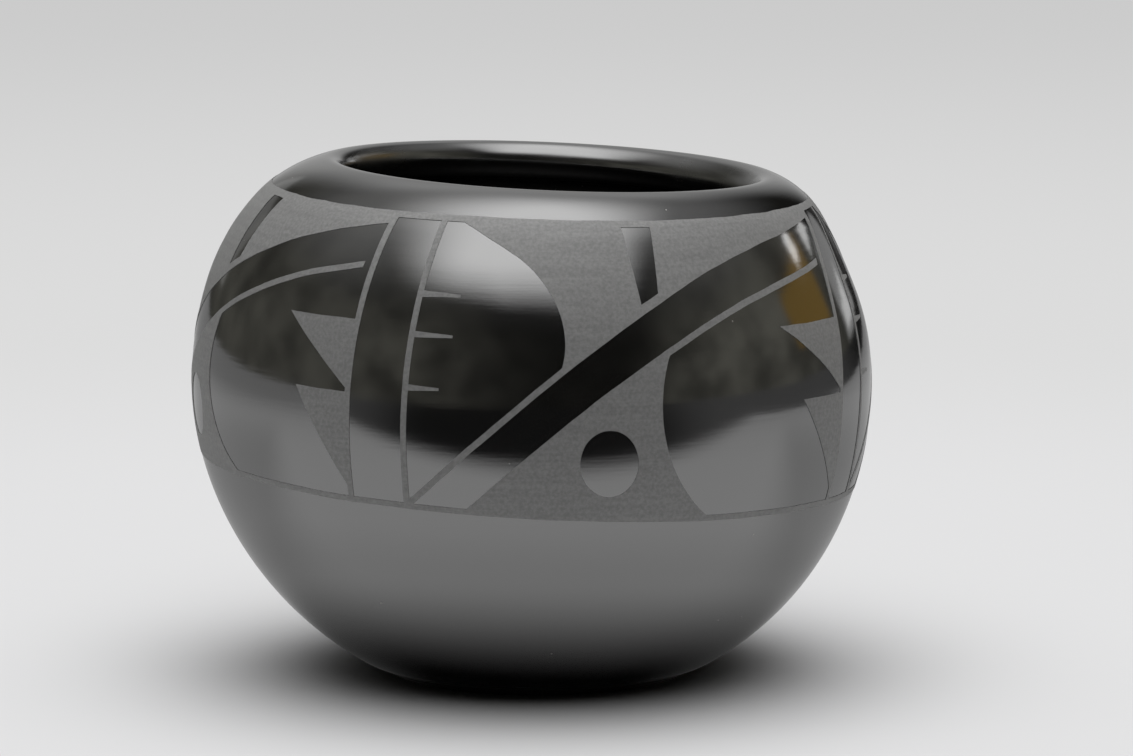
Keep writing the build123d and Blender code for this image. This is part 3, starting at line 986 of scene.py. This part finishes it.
distance = add_node(tree, "ShaderNodeVectorMath", {0: where}, operation="LENGTH").outputs["Value"]
far = calc(tree, "MULTIPLY", ease(tree, distance, *PAPER_FADE), light_path["Is Camera Ray"])
far = calc(tree, "MAXIMUM", far, shine)
# Painted shadow round the foot and painted light that fades with distance, for the paper as the shine sees it.
painted_foot_shadow = ease(tree, distance, *NEAR_SHADE, NEAR_LIGHT, 1.0)
painted_foot_shadow = calc(tree, "MULTIPLY", ease(tree, distance, *FOOT_SHADE), painted_foot_shadow)
painted_paper_shine = calc(tree, "MULTIPLY", painted_foot_shadow, ease(tree, distance, *SHINE_SPAN, *SHINE_LIGHT))
seen = ease(tree, distance, *SEEN_SPAN, *SEEN_LIGHT)
fading = add_node(tree, "ShaderNodeMix", {"Factor": shine, 2: seen, 3: painted_paper_shine}, data_type="FLOAT").outputs[0]
pale = add_node(tree, "ShaderNodeEmission", {"Strength": fading}).outputs[0]
# Painted dim floor past the paper's front and right edges, for all rays but the camera's.
slanted = calc(tree, "MULTIPLY_ADD", x, -PAPER_SLANT, y)
past = ease(tree, slanted, PAPER_FRONT - FRONT_BLUR, PAPER_FRONT + FRONT_BLUR, 1.0, 0.0)
past = calc(tree, "MAXIMUM", past, ease(tree, x, PAPER_RIGHT - RIGHT_BLUR, PAPER_RIGHT + RIGHT_BLUR))
past = calc(tree, "MULTIPLY", past, calc(tree, "SUBTRACT", 1.0, light_path["Is Camera Ray"]))
# Painted shade beside and behind the jar, in the shine alone.
painted_side_shade = ease(tree, y, *SIDE_START, 0.0, SIDE_DIM)
painted_side_shade = calc(tree, "MULTIPLY", painted_side_shade, ease(tree, distance, *SIDE_SPAN, 1.0, 0.0))
past = calc(tree, "MAXIMUM", past, calc(tree, "MULTIPLY", painted_side_shade, shine))
aside = calc(tree, "DIVIDE", calc(tree, "ABSOLUTE", x), distance)
aside = ease(tree, aside, *ASIDE_SPAN, ROOM_FRONT, ROOM_ASIDE)
painted_dim_floor = add_node(tree, "ShaderNodeEmission", {"Strength": aside}).outputs[0]
mixed = add_node(tree, "ShaderNodeMixShader", {0: far, 1: shader.outputs[0], 2: pale}).outputs[0]
mixed = add_node(tree, "ShaderNodeMixShader", {0: past, 1: mixed, 2: painted_dim_floor}).outputs[0]
tree.links.new(mixed, tree.nodes["Material Output"].inputs["Surface"])
floor_mesh.materials.append(paper)

# The light: one broad soft sheet overhead with slanting edges, and more from straight above for all that isn't shine.
# The dim room, its bright patches and a warm one show in the shine alone. A patch has its turns in degrees round from
# the front, its rise and its strength; a rise is the height of a way that is one long.
SOFT_LIGHT = 2.0
SOFT_FRONT = (-1.42, -0.59)
SOFT_CORNER = (-0.20, 0.57)
SOFT_BACK = (0.18, 1.20)
SOFT_LEFT = (-0.75, -0.08)
SOFT_RIGHT = (0.16, 0.66)
SOFT_SLANT = (-0.42, 0.33)
SOFT_LOWEST = 0.05
OVERHEAD = (0.35, 2.42)
OVERHEAD_RISE = (0.62, 0.98)
OVERHEAD_DEPTH = (-0.60, 0.20)
BRIGHT_PATCHES = (
    ((123.0, 127.5), (0.300, 0.375), 2.0),
    ((135.0, 143.0), (0.225, 0.300), 1.4),
    ((141.0, 149.5), (0.025, 0.090), 0.8),
    ((139.0, 156.0), (0.0, 0.190), 0.45),
    ((-165.0, -142.0), (0.070, 0.330), 0.22),
)
PATCH_BLUR = (1.0, 0.008)
WARM_TURNS = (105.0, 130.0)
WARM_RISE = (0.13, 0.34)
WARM_BLUR = (2.0, 0.02)
WARM_LIGHT = 0.33
WARM_TONE = (1.0, 0.63, 0.17)
ROOM_TONE = (1.0, 0.98, 0.84)
ROOM_LEFT = 0.12
LEFT_SPAN = (-0.90, 0.15)
ROOM_RIGHT = 0.15
RIGHT_SPAN = (0.50, 0.95)
ROOM_RISE = (0.30, 0.70)
ROOM_UPPER = 0.5
ROOM_SWELLS = 5.0
SWELL_SPAN = (0.30, 0.70)
SWELL_LIGHT = (0.55, 1.45)
ROOM_BACK = 0.50
BACK_DEPTH = (0.45, 0.75)
BACK_RISE = (0.60, 0.90)
BACK_WIDTH = (0.12, 0.38)
ROOM_ABOVE = 0.32
ABOVE_RISE = (0.40, 0.90)
ABOVE_DEPTH = (-0.60, 0.10)
ABOVE_LIGHT = (0.15, 1.0)
ROOM_SEEN = 0.60
world = bpy.data.worlds.new("room")
scene.world = world
world.use_nodes = True
tree = world.node_tree
light_path = add_node(tree, "ShaderNodeLightPath").outputs
shine = light_path["Is Glossy Ray"]
way = add_node(tree, "ShaderNodeTexCoord").outputs["Generated"]
x, y, z = add_node(tree, "ShaderNodeSeparateXYZ", {0: way}).outputs
up = calc(tree, "MAXIMUM", z, SOFT_LOWEST)
over_x = calc(tree, "DIVIDE", x, up)
over_y = calc(tree, "DIVIDE", y, up)


def between(tree, value, limits, blur):
    """One between two limits, fading to nought over a blur at both."""
    rising = ease(tree, value, limits[0] - blur, limits[0] + blur)
    return calc(tree, "MULTIPLY", rising, ease(tree, value, limits[1] - blur, limits[1] + blur, 1.0, 0.0))


corner = calc(tree, "MAXIMUM", calc(tree, "SUBTRACT", SOFT_CORNER[0], over_x), 0.0)
ahead = calc(tree, "MULTIPLY_ADD", corner, -SOFT_CORNER[1], over_y)
soft = calc(tree, "MULTIPLY", ease(tree, ahead, *SOFT_FRONT), ease(tree, over_y, *SOFT_BACK, 1.0, 0.0))
across = calc(tree, "MULTIPLY_ADD", over_y, SOFT_SLANT[0], over_x)
soft = calc(tree, "MULTIPLY", soft, ease(tree, across, *SOFT_LEFT))
across = calc(tree, "MULTIPLY_ADD", over_y, SOFT_SLANT[1], over_x)
soft = calc(tree, "MULTIPLY", soft, ease(tree, across, *SOFT_RIGHT, 1.0, 0.0))
lit = calc(tree, "MULTIPLY", soft, SOFT_LIGHT)
behind = calc(tree, "MULTIPLY", ease(tree, y, *BACK_DEPTH), ease(tree, z, *BACK_RISE, 1.0, 0.0))
behind = calc(tree, "MULTIPLY", behind, ease(tree, calc(tree, "ABSOLUTE", x), *BACK_WIDTH, 1.0, 0.0))
above = calc(tree, "MULTIPLY", ease(tree, z, *ABOVE_RISE), ease(tree, y, *ABOVE_DEPTH, *ABOVE_LIGHT))
faint = weighted(tree, behind, ROOM_BACK, above, ROOM_ABOVE)
faint = calc(tree, "MULTIPLY", faint, calc(tree, "SUBTRACT", 1.0, soft))
lit = calc(tree, "MULTIPLY_ADD", faint, shine, lit)
overhead = ease(tree, y, *OVERHEAD_DEPTH, *OVERHEAD)
overhead = calc(tree, "MULTIPLY", ease(tree, z, *OVERHEAD_RISE), overhead)
lit = calc(tree, "MULTIPLY_ADD", overhead, calc(tree, "SUBTRACT", 1.0, shine), lit)
turn = calc(tree, "ARCTAN2", x, calc(tree, "MULTIPLY", y, -1.0))
turn = calc(tree, "MULTIPLY", turn, math.degrees(1.0))
for turns, rises, level in BRIGHT_PATCHES:
    patch = between(tree, turn, turns, PATCH_BLUR[0])
    patch = calc(tree, "MULTIPLY", patch, between(tree, z, rises, PATCH_BLUR[1]))
    lit = calc(tree, "MULTIPLY_ADD", calc(tree, "MULTIPLY", patch, shine), level, lit)
lit = add_node(
    tree, "ShaderNodeMix", {"Factor": light_path["Is Camera Ray"], 2: lit, 3: ROOM_SEEN}, data_type="FLOAT"
).outputs[0]
room = ease(tree, x, *LEFT_SPAN, ROOM_LEFT, ROOM_FRONT)
room = calc(tree, "ADD", room, ease(tree, x, *RIGHT_SPAN, 0.0, ROOM_RIGHT))
room = calc(tree, "MULTIPLY", room, ease(tree, z, *ROOM_RISE, 1.0, ROOM_UPPER))
swells = noise(tree, way, ROOM_SWELLS, 3.0).outputs[0]
room = calc(tree, "MULTIPLY", room, ease(tree, swells, *SWELL_SPAN, *SWELL_LIGHT))
warm = between(tree, turn, WARM_TURNS, WARM_BLUR[0])
warm = calc(tree, "MULTIPLY", warm, between(tree, z, WARM_RISE, WARM_BLUR[1]))
room = calc(tree, "MULTIPLY", room, calc(tree, "SUBTRACT", 1.0, warm))
warm = calc(tree, "MULTIPLY", calc(tree, "MULTIPLY", warm, shine), WARM_LIGHT)
studio = tree.nodes["Background"]
studio.inputs["Color"].default_value = (1.0, 1.0, 1.0, 1.0)
tree.links.new(lit, studio.inputs["Strength"])
room_light = studio.outputs[0]
for tone, level in ((ROOM_TONE, calc(tree, "MULTIPLY", room, shine)), (WARM_TONE, warm)):
    part = add_node(tree, "ShaderNodeBackground", {"Color": (*tone, 1.0), "Strength": level}).outputs[0]
    room_light = add_node(tree, "ShaderNodeAddShader", {0: room_light, 1: part}).outputs[0]
tree.links.new(room_light, tree.nodes["World Output"].inputs["Surface"])

# The camera: a long lens in front of the jar that looks down on it a little.
CAMERA_PLACE = (0.00817, -1.340, 0.2673)
CAMERA_PITCH = math.radians(90.0 - 8.41)
CAMERA_LENS = 182.5
CAMERA_SENSOR = 36.0
camera = bpy.data.objects.new("camera", bpy.data.cameras.new("camera"))
scene.collection.objects.link(camera)
camera.location = CAMERA_PLACE
camera.rotation_euler = (CAMERA_PITCH, 0.0, 0.0)
camera.data.sensor_width = CAMERA_SENSOR
camera.data.lens = CAMERA_LENS
scene.camera = camera
